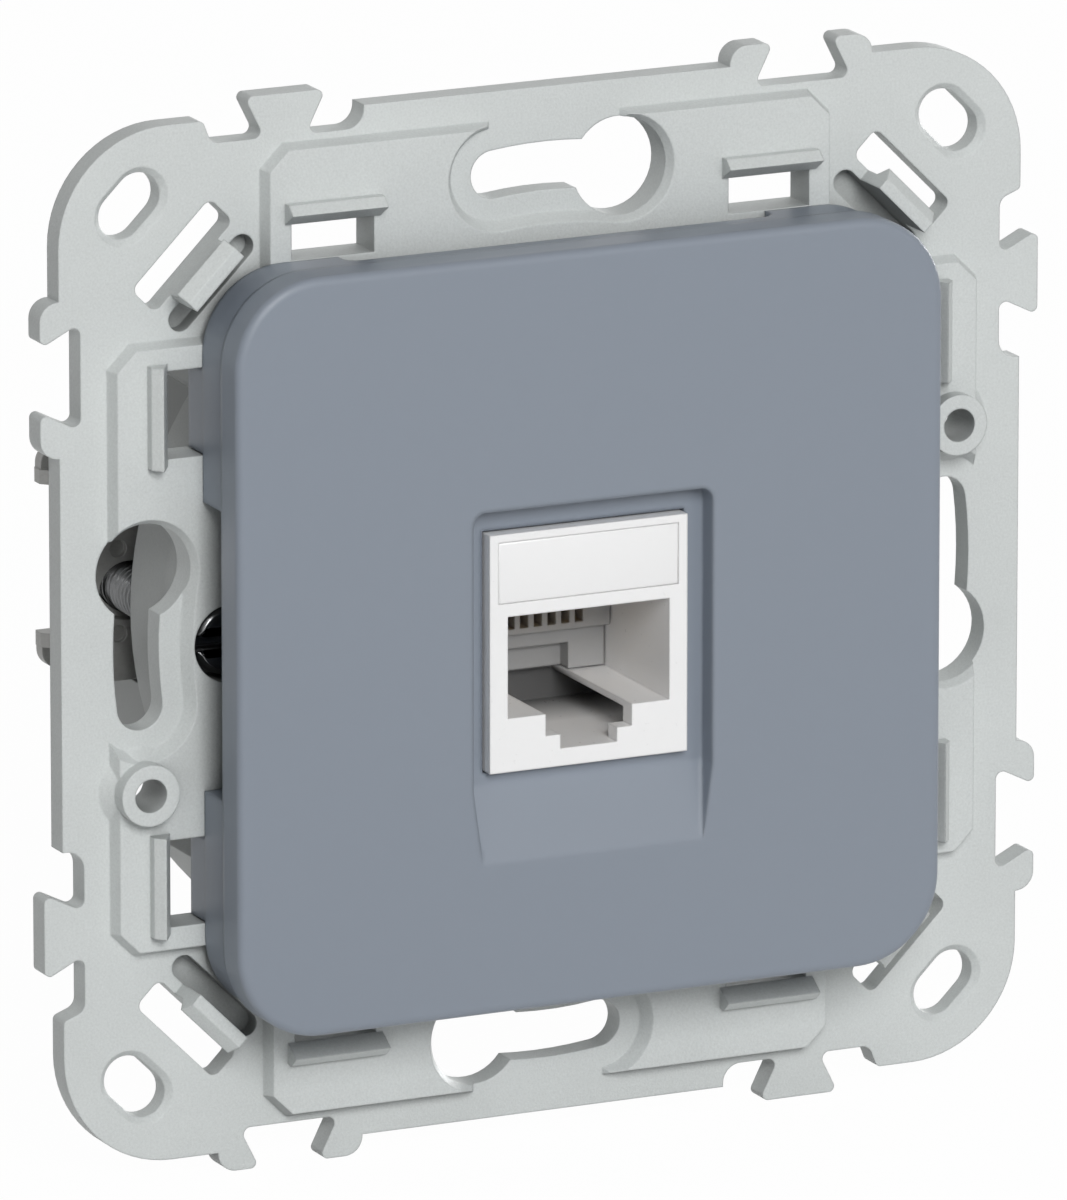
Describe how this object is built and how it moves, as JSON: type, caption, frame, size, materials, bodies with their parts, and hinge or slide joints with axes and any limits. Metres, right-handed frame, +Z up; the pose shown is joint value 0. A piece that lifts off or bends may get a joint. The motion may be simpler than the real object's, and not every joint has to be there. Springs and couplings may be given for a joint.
{
  "type": "telephone socket",
  "caption": "flush-mounted modular socket insert: square cover with a sunk jack on a linkable support frame with fixing claws, without its trim frame",
  "frame": {"origin": "middle of the wall plane, the flat back of the flange", "axes": "+Z up as mounted, +Y into the wall box, +X to the right seen from the front"},
  "size_m": [0.0736, 0.0337, 0.0736],
  "materials": {
    "frame_plastic": "fine satin moulding, pale grey",
    "housing_plastic": "satin moulding, mid grey",
    "cover_plastic": "fine-grained satin moulding, blue grey",
    "jack_plastic": "smooth white moulding",
    "label_plastic": "smooth white, left bare",
    "carrier_plastic": "smooth white moulding",
    "board_laminate": "green solder resist",
    "terminal_plastic": "smooth off-white moulding",
    "zinc_steel": "bright zinc plating",
    "claw_steel": "zinc plated sheet",
    "contact_gold": "gold plating",
    "blade_tin": "tin plating"
  },
  "bodies": {
    "base": {"support_frame": "frame_plastic", "rear_housing": "housing_plastic", "jack_housing": "jack_plastic", "label_carrier": "label_plastic", "contact_carrier": "carrier_plastic", "circuit_board": "board_laminate", "terminal_block_upper": "terminal_plastic", "terminal_block_lower": "terminal_plastic", "housing_screws": "zinc_steel", "board_screws": "zinc_steel", "contact_wire_1": "contact_gold", "contact_wire_2": "contact_gold", "contact_wire_3": "contact_gold", "contact_wire_4": "contact_gold", "contact_wire_5": "contact_gold", "contact_wire_6": "contact_gold", "contact_wire_7": "contact_gold", "contact_wire_8": "contact_gold", "idc_blade_1": "blade_tin", "idc_blade_2": "blade_tin", "idc_blade_3": "blade_tin", "idc_blade_4": "blade_tin", "idc_blade_5": "blade_tin", "idc_blade_6": "blade_tin", "idc_blade_7": "blade_tin", "idc_blade_8": "blade_tin"},
    "cover": {"cover_plate": "cover_plastic"},
    "claw_left": {"claw_left": "claw_steel"},
    "claw_screw_left": {"claw_screw_left": "zinc_steel"},
    "claw_nut_left": {"claw_nut_left": "claw_steel"},
    "claw_right": {"claw_right": "claw_steel"},
    "claw_screw_right": {"claw_screw_right": "zinc_steel"},
    "claw_nut_right": {"claw_nut_right": "claw_steel"}
  },
  "joints": [
    {"name": "cover_pull", "type": "slide", "parent": "base", "child": "cover", "axis": [0, -1, 0], "range_m": [0, 0.012]},
    {"name": "claw_screw_left_turn", "type": "hinge", "parent": "base", "child": "claw_screw_left", "pos_m": [-0.0235, 0, 0], "axis": [0, 1, 0], "range_deg": [0, 720]},
    {"name": "claw_left_tilt", "type": "hinge", "parent": "base", "child": "claw_left", "pos_m": [-0.02, 0.0136, 0], "axis": [0, 0, 1], "range_deg": [0, 22.5]},
    {"name": "claw_nut_left_slide", "type": "slide", "parent": "base", "child": "claw_nut_left", "axis": [0, -1, 0], "range_m": [0, 0.0012]},
    {"name": "claw_screw_right_turn", "type": "hinge", "parent": "base", "child": "claw_screw_right", "pos_m": [0.0235, 0, 0], "axis": [0, 1, 0], "range_deg": [0, 720]},
    {"name": "claw_right_tilt", "type": "hinge", "parent": "base", "child": "claw_right", "pos_m": [0.02, 0.0136, 0], "axis": [0, 0, -1], "range_deg": [0, 22.5]},
    {"name": "claw_nut_right_slide", "type": "slide", "parent": "base", "child": "claw_nut_right", "axis": [0, -1, 0], "range_m": [0, 0.0012]}
  ],
  "couplings": [
    {"joint": "claw_screw_left_turn", "follows": "claw_nut_left_slide", "rad_per_m": 10472},
    {"joint": "claw_left_tilt", "follows": "claw_nut_left_slide", "rad_per_m": 327.25},
    {"joint": "claw_screw_right_turn", "follows": "claw_nut_right_slide", "rad_per_m": 10472},
    {"joint": "claw_right_tilt", "follows": "claw_nut_right_slide", "rad_per_m": 327.25}
  ]
}
